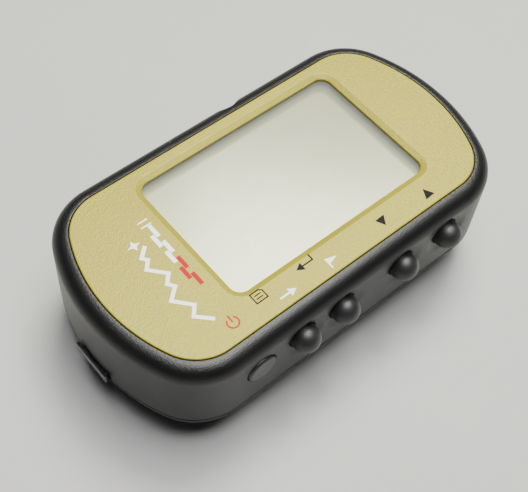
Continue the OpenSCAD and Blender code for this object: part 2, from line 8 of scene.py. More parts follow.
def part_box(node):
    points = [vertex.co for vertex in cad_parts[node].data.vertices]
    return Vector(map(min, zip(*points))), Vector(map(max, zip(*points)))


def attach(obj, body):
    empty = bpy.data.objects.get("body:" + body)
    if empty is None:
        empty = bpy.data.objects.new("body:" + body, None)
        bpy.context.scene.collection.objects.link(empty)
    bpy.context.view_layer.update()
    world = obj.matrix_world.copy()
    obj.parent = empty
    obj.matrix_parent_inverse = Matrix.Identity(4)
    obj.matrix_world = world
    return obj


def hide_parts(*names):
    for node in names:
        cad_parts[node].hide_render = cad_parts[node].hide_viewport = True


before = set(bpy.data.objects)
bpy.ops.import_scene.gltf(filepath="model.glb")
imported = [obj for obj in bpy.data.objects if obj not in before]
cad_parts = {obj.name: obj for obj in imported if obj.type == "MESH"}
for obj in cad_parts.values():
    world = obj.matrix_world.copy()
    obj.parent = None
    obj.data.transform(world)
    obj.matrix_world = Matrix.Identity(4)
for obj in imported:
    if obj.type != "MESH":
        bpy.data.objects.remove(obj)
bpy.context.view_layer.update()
mm = 0.001


# Front shell: the soft-touch upper half of the case, injection moulded in black nylon blend and
# sprayed with rubbery paint. Its rim holds the faceplate; the near wall is dished around the keys,
# and the far rim has a thumb scallop above the data port.

shell_low, shell_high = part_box("front_case")
plate_low, plate_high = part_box("faceplate")
half_l = plate_high.x
half_w = plate_high.y
rim_w = shell_high.y - half_w
end_r = 30.1 * mm
corner_r = 8 * mm
corner_y = half_w - corner_r
end_x = half_l - end_r
corner_x = end_x + math.sqrt((end_r - corner_r) ** 2 - corner_y**2)
end_turn = math.atan2(corner_y, corner_x - end_x)
corner_turn = math.pi / 2 - end_turn


def start_piece(name):
    """Deselects everything, adds a plane shrunk to one vertex at the origin, and stays in edit mode."""
    if bpy.context.object and bpy.context.object.mode == "EDIT":
        bpy.ops.object.mode_set(mode="OBJECT")
    bpy.ops.object.select_all(action="DESELECT")
    bpy.ops.mesh.primitive_plane_add(size=mm)
    piece = bpy.context.object
    piece.name = name
    piece.data.name = name
    bpy.ops.object.mode_set(mode="EDIT")
    bpy.ops.mesh.select_mode(type="VERT")
    bpy.ops.mesh.select_all(action="SELECT")
    bpy.ops.mesh.merge(type="CENTER")
    return piece


def draw(points):
    """Moves the one vertex to the first point and extrudes it from point to point."""
    bpy.ops.transform.translate(value=points[0])
    for before, after in zip(points, points[1:]):
        bpy.ops.mesh.extrude_region_move(TRANSFORM_OT_translate={"value": Vector(after) - Vector(before)})
    bpy.ops.mesh.select_all(action="SELECT")


def sweep(moves):
    """Carries the selected chain along straight lines and turns, and welds the end to the start."""
    for move in moves:
        if move[0] == "line":
            bpy.ops.mesh.extrude_region_move(TRANSFORM_OT_translate={"value": (move[1], move[2], 0)})
        else:
            _, x, y, angle, steps = move
            bpy.ops.mesh.spin(steps=steps, angle=-angle, center=(x, y, 0), axis=(0, 0, 1))
    weld()


def weld():
    """Merges the vertices that meet and turns every face outward."""
    bpy.ops.mesh.select_all(action="SELECT")
    bpy.ops.mesh.remove_doubles(threshold=0.002 * mm)
    bpy.ops.mesh.normals_make_consistent(inside=False)
    if bmesh.from_edit_mesh(bpy.context.object.data).calc_volume(signed=True) < 0:
        bpy.ops.mesh.flip_normals()


def case_outline():
    """Once round the case, from the left end of the near side."""
    half = [
        ("line", 2 * corner_x, 0),
        ("turn", corner_x, -corner_y, corner_turn, 12),
        ("turn", end_x, 0, 2 * end_turn, 26),
        ("turn", corner_x, corner_y, corner_turn, 12),
    ]
    back = [
        ("line", -2 * corner_x, 0),
        ("turn", -corner_x, corner_y, corner_turn, 12),
        ("turn", -end_x, 0, 2 * end_turn, 26),
        ("turn", -corner_x, -corner_y, corner_turn, 12),
    ]
    return half + back


def arc(y, z, r, start, end, steps):
    """Points of an arc in the plane of a profile, as pairs of outward distance and height."""
    angles = [math.radians(start + (end - start) * i / steps) for i in range(steps + 1)]
    return [(y + r * math.cos(a), z + r * math.sin(a)) for a in angles]


def case_profile(pairs):
    """Pairs of distance outside the faceplate's edge and height, placed at the outline's start."""
    return [(-corner_x, -half_w - out, z) for out, z in pairs]


def pick(kind, rule):
    """Selects only the vertices, edges or faces whose centre and normal meet a rule."""
    bpy.ops.mesh.select_mode(type=kind)
    bpy.ops.mesh.select_all(action="DESELECT")
    mesh = bmesh.from_edit_mesh(bpy.context.object.data)
    for part in {"VERT": mesh.verts, "EDGE": mesh.edges, "FACE": mesh.faces}[kind]:
        corners = [part] if kind == "VERT" else part.verts
        centre = sum((v.co for v in corners), Vector()) / len(corners)
        part.select_set(bool(rule(centre, part)))
    mesh.select_flush_mode()
    bmesh.update_edit_mesh(bpy.context.object.data)


def use(piece, kind, **settings):
    """Adds a modifier to a piece with its settings and applies it."""
    bpy.ops.object.select_all(action="DESELECT")
    bpy.context.view_layer.objects.active = piece
    piece.select_set(True)
    modifier = piece.modifiers.new(kind.lower(), kind)
    for key, value in settings.items():
        setattr(modifier, key, value)
    bpy.ops.object.modifier_apply(modifier=modifier.name)


def combine(piece, tool, operation):
    """Cuts a piece with a tool piece, or welds the two, and removes the tool."""
    use(piece, "BOOLEAN", object=tool, operation=operation, solver="EXACT")
    bpy.data.objects.remove(tool)


def leave_edit():
    if bpy.context.object.mode == "EDIT":
        bpy.ops.object.mode_set(mode="OBJECT")


def lathe(name, centre, pairs, axis, steps=64):
    """Turns a profile once round an axis; pairs are radius and distance along the axis from the centre."""
    piece = start_piece(name)
    along = Vector(axis)
    across = Vector((0, 0, 1)) if abs(along.z) < 0.5 else Vector((1, 0, 0))
    draw([Vector(centre) + across * r + along * d for r, d in pairs])
    bpy.ops.mesh.spin(steps=steps, angle=math.tau, center=centre, axis=axis)
    weld()
    leave_edit()
    return piece


def smooth(piece, degrees=32):
    bpy.ops.object.select_all(action="DESELECT")
    bpy.context.view_layer.objects.active = piece
    piece.select_set(True)
    bpy.ops.object.shade_smooth_by_angle(angle=math.radians(degrees))


top_z = plate_high.z
rim_z = shell_high.z
shoulder = 2.7 * mm
wall = 1.8 * mm
groove = 0.13 * mm
lip_in = 4.5 * mm
deck_low = plate_low.z - 1.6 * mm
front_shell = start_piece("front_shell")
outside = arc(rim_w - 0.2 * mm, shell_low.z + 0.2 * mm, 0.2 * mm, -90, 0, 3)
outside += arc(rim_w - shoulder, rim_z - shoulder, shoulder, 0, 82, 12)
outside += arc(groove + 0.1 * mm, rim_z - 0.1 * mm, 0.1 * mm, 90, 180, 3)
inside = [(groove, plate_low.z), (-lip_in, plate_low.z), (-lip_in, deck_low), (rim_w - wall, deck_low)]
inside += [(rim_w - wall, shell_low.z)]
loop = outside + inside
draw(case_profile(loop + [loop[0]]))
sweep(case_outline())
leave_edit()
smooth(front_shell)
key_names = ["power_button", "page_button", "enter_button", "down_button", "up_button"]
key_gap = 0.15 * mm
dish_r = 4.2 * mm
dish_d = 0.7 * mm
dish_ball = (dish_r**2 + dish_d**2) / (2 * dish_d)


def middle(node):
    low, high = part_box(node)
    return (low + high) / 2


def dish_cutter(x, z, bore, dished):
    """A turned plug: the bore's radius inside the wall, flaring through a soft lip into the dish."""
    surface = shell_low.y
    pairs = [(0, -5 * mm), (bore, -5 * mm)]
    if dished:
        rim = dish_r - 0.35 * mm
        steps = [bore + (rim - bore) * i / 8 for i in range(9)]
        deep = [(r, -dish_d + dish_ball - math.sqrt(dish_ball**2 - r**2)) for r in steps]
        last_r, last_d = deep[-1]
        soft = [(last_r + 0.3 * mm * i, last_d + 0.05 * mm * i * (1.55 - 0.25 * i)) for i in range(1, 4)]
        pairs += [(bore, deep[0][1] - 0.12 * mm), (bore + 0.1 * mm, deep[0][1])] + deep[1:] + soft
    else:
        pairs += [(bore, -0.15 * mm), (bore + 0.12 * mm, 0.02 * mm)]
    reach = pairs[-1][0]
    pairs += [(reach + 0.3 * mm, 0.12 * mm), (reach + 0.3 * mm, 3 * mm), (0, 3 * mm)]
    return lathe("dish_cutter", (x, surface, z), pairs, (0, -1, 0), steps=72)


for name in key_names:
    low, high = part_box(name)
    round_key = name != "power_button"
    bore = (2.4 if round_key else 2.6) * mm + key_gap
    centre = middle(name)
    combine(front_shell, dish_cutter(centre.x, centre.z, bore, round_key), "DIFFERENCE")


def block(name, low, high, edge=0.0, steps=3):
    """A box between two corners, its edges rounded by a bevel."""
    bpy.ops.object.select_all(action="DESELECT")
    size = Vector(high) - Vector(low)
    bpy.ops.mesh.primitive_cube_add(size=1)
    piece = bpy.context.object
    piece.name = name
    piece.data.name = name
    bpy.ops.object.mode_set(mode="EDIT")
    bpy.ops.transform.resize(value=size)
    bpy.ops.transform.translate(value=Vector(low) + size / 2)
    if edge:
        bpy.ops.mesh.bevel(offset=edge, segments=steps, affect="EDGES")
    leave_edit()
    return piece


cover_low, cover_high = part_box("usb_cover")
port_gap = 0.1 * mm
recess = block("recess", (cover_low.x - port_gap, cover_low.y + 0.4 * mm, cover_low.z - port_gap),
    (cover_high.x + port_gap, cover_high.y + 2 * mm, cover_high.z + port_gap), 0.3 * mm)
combine(front_shell, recess, "DIFFERENCE")
scallop_x = (cover_low.x + cover_high.x) / 2
scallop_pairs = arc(0, 0, 3.6 * mm, -90, 60, 20) + [(2.2 * mm, 4.2 * mm), (0, 4.2 * mm)]
scallop = lathe("scallop", (scallop_x, shell_high.y + 2.1 * mm, top_z - 0.3 * mm), scallop_pairs, (0, 0, 1))
combine(front_shell, scallop, "DIFFERENCE")
tab_low, tab_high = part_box("door_latch")
tab_gap = 0.15 * mm
notch = block("notch", (shell_low.x - mm, tab_low.y - tab_gap, shell_low.z - mm),
    (shell_low.x + wall + mm, tab_high.y + tab_gap, tab_low.z + mm + tab_gap), 0.3 * mm)
combine(front_shell, notch, "DIFFERENCE")


lens_low, lens_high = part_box("display_lens")
lap = 1.85 * mm
window_x = (lens_low.x + lens_high.x) / 2
window_y = (lens_low.y + lens_high.y) / 2
window_l = lens_high.x - lens_low.x - 2 * lap
window_w = lens_high.y - lens_low.y - 2 * lap
window_r = 2 * mm


def box_outline(x, y, length, width, r, steps=10):
    """Once round a rounded rectangle, from the left end of the near side."""
    moves = []
    for sx, sy, line in ((1, -1, (length - 2 * r, 0)), (1, 1, (0, width - 2 * r)),
            (-1, 1, (2 * r - length, 0)), (-1, -1, (0, 2 * r - width))):
        moves.append(("line", *line))
        moves.append(("turn", x + sx * (length / 2 - r), y + sy * (width / 2 - r), math.pi / 2, steps))
    return moves


def box_profile(x, y, length, width, r, pairs):
    """Pairs of outward distance and height, placed at the start of a rounded rectangle's outline."""
    return [(x - length / 2 + r, y - width / 2 - out, z) for out, z in pairs]


def even_light(piece):
    """Lets the large flat faces set the normals at their rounded edges."""
    smooth(piece)
    use(piece, "WEIGHTED_NORMAL", keep_sharp=True, weight=80)


def rounded_slab(name, x, y, length, width, r, low, high, edge):
    """A rounded rectangle between two heights, with small rounds on its two rims."""
    piece = start_piece(name)
    side = arc(-edge, low + edge, edge, -90, 0, 2) + arc(-edge, high - edge, edge, 0, 90, 2)
    draw(box_profile(x, y, length, width, r, side))
    sweep(box_outline(x, y, length, width, r))
    leave_edit()
    for z in (low, high):
        bpy.ops.object.mode_set(mode="EDIT")
        pick("EDGE", lambda centre, part: part.is_boundary and abs(centre.z - z) < 0.001 * mm)
        bpy.ops.mesh.edge_face_add()
        leave_edit()
    bpy.ops.object.mode_set(mode="EDIT")
    weld()
    leave_edit()
    even_light(piece)
    return piece


deck = block("deck", (lip_in - half_l - 0.3 * mm, lip_in - half_w - 0.3 * mm, deck_low + 0.01 * mm),
    (half_l - lip_in + 0.3 * mm, half_w - lip_in + 0.3 * mm, plate_low.z - 0.01 * mm))
combine(front_shell, deck, "UNION")
ledge = 0.65 * mm
for name, grow, r, low_z in (("lens_seat", lap + 0.15 * mm, window_r + lap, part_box("lens_gasket")[0].z),
        ("opening", ledge, window_r + ledge, deck_low - mm)):
    cutter = rounded_slab(name, window_x, window_y, window_l + 2 * grow, window_w + 2 * grow, r, low_z,
        rim_z, 0.02 * mm)
    combine(front_shell, cutter, "DIFFERENCE")
even_light(front_shell)


class Socket:
    """A shader output that takes part in Python arithmetic; every operation adds its Math node."""

    def __init__(self, tree, out):
        self.tree = tree
        self.out = out

    def node(self, kind, settings=None, inputs=None, output=0):
        """Adds a node, makes its settings, then fills its inputs with values or links."""
        made = self.tree.nodes.new(kind)
        for key, value in (settings or {}).items():
            if key == "stops":
                ramp = made.color_ramp
                for _ in range(len(value) - 2):
                    ramp.elements.new(0.5)
                for element, (place, colour) in zip(ramp.elements, value):
                    element.position = place
                    element.color = (*colour, 1)
            else:
                setattr(made, key, value)
        for key, value in (inputs or {}).items():
            if isinstance(value, Socket):
                self.tree.links.new(value.out, made.inputs[key])
            else:
                made.inputs[key].default_value = value
        return Socket(self.tree, made.outputs[output])

    def maths(self, operation, *values, **settings):
        return self.node("ShaderNodeMath", {"operation": operation, **settings}, dict(enumerate(values)))

    def __add__(self, other):
        return self.maths("ADD", self, other)

    __radd__ = __add__

    def __sub__(self, other):
        return self.maths("SUBTRACT", self, other)

    def __rsub__(self, other):
        return self.maths("SUBTRACT", other, self)

    def __mul__(self, other):
        return self.maths("MULTIPLY", self, other)

    __rmul__ = __mul__

    def __truediv__(self, other):
        return self.maths("DIVIDE", self, other)

    def fraction(self):
        return self.maths("FRACT", self)

    def noise(self, size, detail=2.0, roughness=0.5):
        """Noise between 0 and 1 whose grains are about size metres across."""
        return self.node("ShaderNodeTexNoise", None,
            {"Vector": self, "Scale": 1 / size, "Detail": detail, "Roughness": roughness})

    def cells(self, size, output="Distance"):
        return self.node("ShaderNodeTexVoronoi", None, {"Vector": self, "Scale": 1 / size}, output)

    def step(self, low, high):
        """0 below low, 1 above high, and a smooth rise between them."""
        return self.node("ShaderNodeMapRange", {"interpolation_type": "SMOOTHSTEP"},
            {"Value": self, "From Min": low, "From Max": high})

    def blend(self, first, second):
        """The first colour where the mask is 0, and the second where it is 1."""
        colours = {6: first, 7: second}
        filled = {k: v if isinstance(v, Socket) else (*v, 1) for k, v in colours.items()}
        return self.node("ShaderNodeMix", {"data_type": "RGBA"}, {0: self, **filled}, 2)

    def axis(self, name):
        return self.node("ShaderNodeSeparateXYZ", None, {0: self}, name)

    def stretch(self, x, y, z):
        return self.node("ShaderNodeMapping", None, {"Vector": self, "Scale": (x, y, z)})

    def bump(self, height, strength=1.0):
        """A normal from this height, which is a share of the given height in metres."""
        return self.node("ShaderNodeBump", None, {"Height": self, "Distance": height, "Strength": strength})


def finish(name, **fixed):
    """A new material: its Principled shader, with the sockets that stay the same, and Object coordinates."""
    material = bpy.data.materials.new(name)
    material.use_nodes = True
    tree = material.node_tree
    shader = tree.nodes["Principled BSDF"]
    for key, value in fixed.items():
        shader.inputs[key.replace("_", " ")].default_value = value
    place = Socket(tree, tree.nodes.new("ShaderNodeTexCoord").outputs["Object"])
    return material, place


def drive(material, **sockets):
    """Links what changes over the surface to the material's shader."""
    tree = material.node_tree
    for key, value in sockets.items():
        tree.links.new(value.out, tree.nodes["Principled BSDF"].inputs[key.replace("_", " ")])


def done(piece, material, body, slot, *nodes):
    """Gives a piece its material and its body, and hides the CAD nodes that it stands for; the slot is not
    used.
    """
    piece.data.materials.clear()
    piece.data.materials.append(material)
    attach(piece, body)
    if nodes:
        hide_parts(*nodes)


def coated_black():
    """Rubbery paint: a fine pebble grain, rubbed a little smoother in patches, with a few dust specks."""
    material, place = finish("soft_touch_paint", IOR=1.42)
    patches = place.noise(6 * mm, 3)
    pebbles = place.noise(0.22 * mm, 2, 0.6)
    dust_cell = place.cells(2.6 * mm)
    speck = (1 - dust_cell.step(0.025, 0.05)) * place.noise(4 * mm).step(0.5, 0.58)
    black = patches.blend((0.003, 0.003, 0.0034), (0.005, 0.005, 0.0055))
    drive(material, Base_Color=speck.blend(black, (0.3, 0.29, 0.27)))
    drive(material, Roughness=0.3 + 0.08 * patches + 0.06 * pebbles)
    drive(material, Normal=pebbles.bump(0.06 * mm))
    return material


soft_paint = coated_black()
done(front_shell, soft_paint, "case", "soft_black", "front_case")


# Faceplate: aluminium sheet, stamped with a sloped border around the window, blasted and sprayed in
# textured champagne-gold paint, then glued into the shell's recess.


plate = start_piece("gold_plate")
edge = arc(-0.22 * mm, top_z - 0.22 * mm, 0.22 * mm, 0, 90, 5)
draw(case_profile([(0, plate_low.z)] + edge))
sweep(case_outline())
leave_edit()
window_edge = start_piece("window_edge")
flare = [(0, plate_low.z), (0, top_z - 0.62 * mm)] + arc(0.12 * mm, top_z - 0.58 * mm, 0.12 * mm, 180, 118, 4)
flare += arc(1.12 * mm, top_z - 0.4 * mm, 0.4 * mm, 118, 90, 5)
draw(box_profile(window_x, window_y, window_l, window_w, window_r, flare))
sweep(box_outline(window_x, window_y, window_l, window_w, window_r, 12))
leave_edit()


def join(piece, *others):
    """Joins other meshes into a piece."""
    bpy.ops.object.select_all(action="DESELECT")
    for other in others:
        other.select_set(True)
    piece.select_set(True)
    bpy.context.view_layer.objects.active = piece
    bpy.ops.object.join()


def fill_between(piece, z):
    """Fills the flat ring between two open edges that lie at one height."""
    bpy.context.view_layer.objects.active = piece
    bpy.ops.object.mode_set(mode="EDIT")
    pick("EDGE", lambda centre, part: part.is_boundary and abs(centre.z - z) < 0.001 * mm)
    bpy.ops.mesh.fill(use_beauty=False)
    weld()
    leave_edit()


join(plate, window_edge)
fill_between(plate, top_z)
fill_between(plate, plate_low.z)
even_light(plate)


def champagne_paint():
    """Satin metallic paint over a blasted grain, with a slow drift of tone and a few bright flakes."""
    material, place = finish("champagne_paint", Metallic=0.12, IOR=1.45)
    drift = place.noise(24 * mm, 2)
    grain = place.noise(0.3 * mm, 3, 0.62)
    flakes = 1 - place.cells(0.16 * mm).step(0.12, 0.3)
    tone = drift.blend((0.275, 0.235, 0.01), (0.325, 0.28, 0.018))
    drive(material, Base_Color=(0.3 * flakes).blend(tone, (0.46, 0.4, 0.1)))
    drive(material, Roughness=0.32 + 0.16 * grain)
    drive(material, Normal=grain.bump(0.1 * mm))
    return material


gold_paint = champagne_paint()
done(plate, gold_paint, "case", "faceplate_gold", "faceplate")


# Legends: pad-printed enamel on the faceplate, a film as thin as paint. Beside the keys are a power
# sign, a sheet, a go-to arrow, a return arrow, a flag and two arrow heads; left of the window are a
# ridge line and a scale bar.

film = 0.02 * mm


def stamp(outline):
    """Draws a closed outline on the faceplate, fills it and raises it by the film."""
    piece = start_piece("stamp")
    points = [(x * mm, y * mm, top_z) for x, y in outline]
    draw(points + [points[0]])
    bpy.ops.mesh.remove_doubles(threshold=0.002 * mm)
    bpy.ops.mesh.edge_face_add()
    bpy.ops.mesh.extrude_region_move(TRANSFORM_OT_translate={"value": (0, 0, film)})
    bpy.ops.mesh.select_all(action="SELECT")
    bpy.ops.mesh.normals_make_consistent(inside=False)
    leave_edit()
    return piece


def stroke(x0, y0, x1, y1, width):
    """A straight bar between two points."""
    along = Vector((x1 - x0, y1 - y0)).normalized() * (width / 2)
    side = Vector((-along.y, along.x))
    ends = [(x0, y0, -1), (x1, y1, 1)]
    low, high = [Vector((x, y)) + along * s for x, y, s in ends]
    return stamp([low + side, low - side, high - side, high + side])


def ring_arc(x, y, r, width, start, end, steps=22):
    """A bar bent round a centre, between two angles in degrees."""
    angles = [math.radians(start + (end - start) * i / steps) for i in range(steps + 1)]
    outer = [(x + (r + width / 2) * math.cos(a), y + (r + width / 2) * math.sin(a)) for a in angles]
    inner = [(x + (r - width / 2) * math.cos(a), y + (r - width / 2) * math.sin(a)) for a in reversed(angles)]
    return stamp(outer + inner)


def enamel(name, colour):
    """Ink with a slightly uneven lay, so its tone and gloss vary a little."""
    material, place = finish(name, Specular_IOR_Level=0.12)
    lay = place.noise(0.5 * mm, 2)
    drive(material, Base_Color=(0.3 * lay).blend(colour, [0.9 * c + 0.004 for c in colour]))
    drive(material, Roughness=0.55 + 0.15 * lay)
    return material


def printed(name, ink, stamps):
    for other in stamps[1:]:
        combine(stamps[0], other, "UNION")
    stamps[0].name = name
    stamps[0].data.name = name
    done(stamps[0], ink, "case", "faceplate_gold")


white_ink = enamel("white_ink", (0.95, 0.95, 0.93))
black_ink = enamel("black_ink", (0.004, 0.004, 0.004))
red_ink = enamel("red_ink", (0.42, 0.008, 0.014))
printed("legend_power", red_ink, [
    ring_arc(-21.1, -14.1, 0.95, 0.24, 128, 412),
    stroke(-21.1, -13.95, -21.1, -12.85, 0.24)])
printed("legend_page", black_ink, [
    stroke(-16.3, -13.9, -16.3, -12.1, 0.22), stroke(-14.2, -13.9, -14.2, -12.5, 0.22),
    stroke(-16.3, -13.9, -14.2, -13.9, 0.22), stroke(-16.3, -12.1, -14.7, -12.1, 0.22),
    stroke(-14.7, -12.1, -14.2, -12.5, 0.22), stroke(-15.8, -12.7, -14.75, -12.7, 0.2),
    stroke(-15.8, -13.3, -14.75, -13.3, 0.2)])
printed("legend_go", white_ink, [
    stroke(-12.9, -15.4, -10.9, -15.4, 0.32), stamp([(-11.2, -16.15), (-9.9, -15.4), (-11.2, -14.65)])])
printed("legend_enter", black_ink, [
    stroke(-4.6, -12.1, -4.6, -13.1, 0.26), stroke(-4.6, -13.1, -6.9, -13.1, 0.26),
    stamp([(-6.6, -12.35), (-7.9, -13.1), (-6.6, -13.85)])])
printed("legend_mark", white_ink, [
    stroke(-3.1, -16.1, -3.1, -14.4, 0.26), stamp([(-2.97, -14.3), (-1.2, -14.85), (-2.97, -15.4)])])
printed("legend_down", black_ink, [stamp([(7.98, -13.84), (8.83, -15.5), (9.93, -13.76)])])
printed("legend_up", black_ink, [stamp([(18.47, -14.01), (17.49, -15.9), (19.46, -15.79)])])
ridge = [(-23, -11.8), (-25, -9.8), (-23.7, -8.3), (-26, -5.7), (-24, -4), (-24.7, -3), (-23.4, -1.6),
    (-25.6, 0.9), (-24.4, 2.2), (-25, 3), (-23.5, 4.3)]
printed("emblem_ridge", white_ink,
    [stroke(*a, *b, 0.62) for a, b in zip(ridge, ridge[1:])]
    + [stamp([(-24.6, 4.5), (-24.25, 5.25), (-23.4, 5.5), (-24.25, 5.75), (-24.6, 6.5),
        (-24.95, 5.75), (-25.8, 5.5), (-24.95, 5.25)])])
bar_marks = [(-5.8, -4.0), (-2.2, -0.4)]
printed("scale_bar_near", red_ink, [stroke(-20.5, a, -20.5, b, 0.7) for a, b in bar_marks]
    + [stroke(-21.3, -4.0, -21.3, -2.2, 0.7)])
far_marks = [1.4, 3.2, 5.0, 6.8]
printed("scale_bar_far", white_ink, [stroke(-21.3 + 0.8 * (i % 2), y - 1.8, -21.3 + 0.8 * (i % 2), y, 0.7)
    for i, y in enumerate(far_marks)]
    + [stroke(-21.7, 7.4, -20.1, 7.4, 0.25), stroke(-21.7, 8.4, -20.1, 8.4, 0.25)])


# Display lens: a clear hard-coated acrylic pane, laser cut with polished edges and glued on a foam
# gasket behind the faceplate.

lens = rounded_slab("lens_pane", window_x, window_y, window_l + 2 * lap, window_w + 2 * lap,
    window_r + lap - 0.15 * mm, lens_low.z, lens_high.z, 0.06 * mm)


def clear_acrylic():
    """Nearly invisible from the front, with a gloss that a few faint smears break up."""
    material, place = finish("clear_acrylic", IOR=1.49, Specular_IOR_Level=0.5)
    smear = place.stretch(1, 3, 1).noise(7 * mm, 3).step(0.45, 0.8)
    tint = smear.blend((0.86, 0.9, 0.8), (0.9, 0.92, 0.86))
    drive(material, Base_Color=tint)
    drive(material, Roughness=0.12 + 0.06 * smear)
    drive(material, Alpha=0.1 + 0.02 * smear)
    return material


done(lens, clear_acrylic(), "case", "lens_clear", "display_lens")


# Display glass: two thin sheets of glass with liquid crystal between them, a polariser above and
# a silvery reflector below, which gives the grey-green look of an unpowered screen.

def display_face():
    """Grey-green reflector with a painted reflection of the key light that lightens it towards the near left
    corner, and the faint grain of its cells.
    """
    material, place = finish("display_face", IOR=1.52, Coat_IOR=1.75, Coat_Roughness=0.22)
    across = place.axis("X") * (1 / window_l) + 0.5
    along = place.axis("Y") * (1 / window_w) + 0.5
    # painted reflection: the base colour lightens towards the near left corner, where the key light reflects
    # in the screen
    painted_reflection = 1 - (0.55 * across + 0.65 * along).step(-0.1, 1.15)
    cloud = place.noise(14 * mm, 2)
    glass = painted_reflection.blend((0.13, 0.135, 0.012), (0.5, 0.52, 0.16))
    sparkle = place.noise(0.12 * mm, 1)
    drive(material, Base_Color=(0.12 * cloud + 0.06 * sparkle).blend(glass, (0.4, 0.4, 0.16)))
    drive(material, Roughness=0.32 + 0.06 * sparkle)
    drive(material, Coat_Weight=0.85 + 0.1 * cloud)
    return material


lcd_low, lcd_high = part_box("lcd_panel")
lcd_x = (lcd_low.x + lcd_high.x) / 2
lcd_y = (lcd_low.y + lcd_high.y) / 2
glass = rounded_slab("display_glass", lcd_x, lcd_y, lcd_high.x - lcd_low.x, lcd_high.y - lcd_low.y,
    0.5 * mm, lcd_low.z, lcd_high.z, 0.08 * mm)
done(glass, display_face(), "case", "lcd_glass", "lcd_panel")


# Keys: five satin silicone keys, moulded with a flange behind the wall and a stem that reaches the
# switch. Four are domes that stand out of their dishes; the power key is a low flat disc.

def key_rubber_finish():
    """Satin silicone with a very fine bloom."""
    material, place = finish("key_silicone", Specular_IOR_Level=0.5, Sheen_Weight=0.08)
    bloom = place.noise(3 * mm, 3)
    skin = place.noise(0.16 * mm, 2)
    drive(material, Base_Color=bloom.blend((0.006, 0.006, 0.0065), (0.012, 0.012, 0.013)))
    drive(material, Roughness=0.36 + 0.12 * bloom + 0.06 * skin)
    drive(material, Normal=skin.bump(0.02 * mm))
    return material


silicone = key_rubber_finish()
for name in key_names:
    low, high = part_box(name)
    centre = middle(name)
    length = high.y - low.y
    stem = 0.7 * mm
    inner_face = shell_low.y + wall
    flange_y = inner_face + 0.05 * mm - low.y
    if name == "power_button":
        r = 2.6 * mm
        front = [(0, length), (stem, length), (stem, flange_y + 0.6 * mm), (3.1 * mm, flange_y + 0.6 * mm),
            (3.1 * mm, flange_y), (r, flange_y)] + arc(r - 0.5 * mm, 0.5 * mm, 0.5 * mm, 0, -90, 8)
        front += [(r - 0.9 * mm, 0.03 * mm), (0, 0.06 * mm)]
    else:
        r = 2.4 * mm
        front = [(0, length), (stem, length), (stem, flange_y + 0.6 * mm), (3.1 * mm, flange_y + 0.6 * mm),
            (3.1 * mm, flange_y), (r, flange_y)] + arc(0, r, r, 0, -90, 20)
    key = lathe(name.replace("_button", "_key"), (centre.x, low.y, centre.z), front, (0, 1, 0), steps=64)
    smooth(key, 40)
    done(key, silicone, name, "key_rubber", name)


# Rear shell: the lower half of the case, moulded in the same black nylon blend but left bare, with a
# spark-eroded texture. It carries the battery bulge, the rib that the door hooks over, four strap
# lugs and four counterbored holes for the screws.

door_low, door_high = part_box("battery_door")
bar_low, bar_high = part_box("strap_bar_right")
cell_low, cell_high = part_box("battery_a")
screws_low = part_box("case_screws")[0]
deck_z = 5.9 * mm
bulge_l = 58.6 * mm
bulge_w = 28.4 * mm
hem = 2 * mm
split = shell_low.z


def fill_open(piece, z):
    """Closes the open edge that lies at one height with a single face."""
    bpy.ops.object.select_all(action="DESELECT")
    bpy.context.view_layer.objects.active = piece
    piece.select_set(True)
    bpy.ops.object.mode_set(mode="EDIT")
    pick("EDGE", lambda centre, part: part.is_boundary and abs(centre.z - z) < 0.001 * mm)
    bpy.ops.mesh.edge_face_add()
    weld()
    leave_edit()


rear_shell = start_piece("rear_shell")
floor_z = deck_z + 1.5 * mm
tray = [(rim_w - wall - 2 * mm, floor_z), (rim_w - wall, floor_z), (rim_w - wall, split - 0.08 * mm)]
tray += arc(rim_w - 0.2 * mm, split - 0.28 * mm, 0.2 * mm, 90, 0, 3)
tray += arc(rim_w - hem, deck_z + hem, hem, 0, -90, 10)
draw(case_profile(tray))
sweep(case_outline())
leave_edit()
fill_open(rear_shell, floor_z)
fill_open(rear_shell, deck_z)
bulge = rounded_slab("bulge", 0, 0, bulge_l, bulge_w, 5 * mm, 0, floor_z - 0.3 * mm, 0.8 * mm)
combine(rear_shell, bulge, "UNION")


def lug(sx, sy):
    """A tapered ear with a round end that holds one end of a strap bar."""
    x = sx * bar_high.x - sx * (bar_high.x - bar_low.x) / 2
    y = sy * (9.4 * mm)
    r = 1.3 * mm
    z = (bar_low.z + bar_high.z) / 2
    piece = start_piece("lug")
    top = floor_z - 0.4 * mm
    points = [(px, y, pz) for px, pz in arc(x, z, r, 180, 360, 14)] + [(x + r, y, top), (x - r, y, top)]
    draw(points + [points[0]])
    bpy.ops.mesh.remove_doubles(threshold=0.002 * mm)
    bpy.ops.mesh.edge_face_add()
    bpy.ops.mesh.extrude_region_move(TRANSFORM_OT_translate={"value": (0, sy * 2 * mm, 0)})
    weld()
    leave_edit()
    use(piece, "BEVEL", width=0.25 * mm, segments=3, limit_method="ANGLE", angle_limit=math.radians(50))
    return piece


for sx in (-1, 1):
    for sy in (-1, 1):
        combine(rear_shell, lug(sx, sy), "UNION")

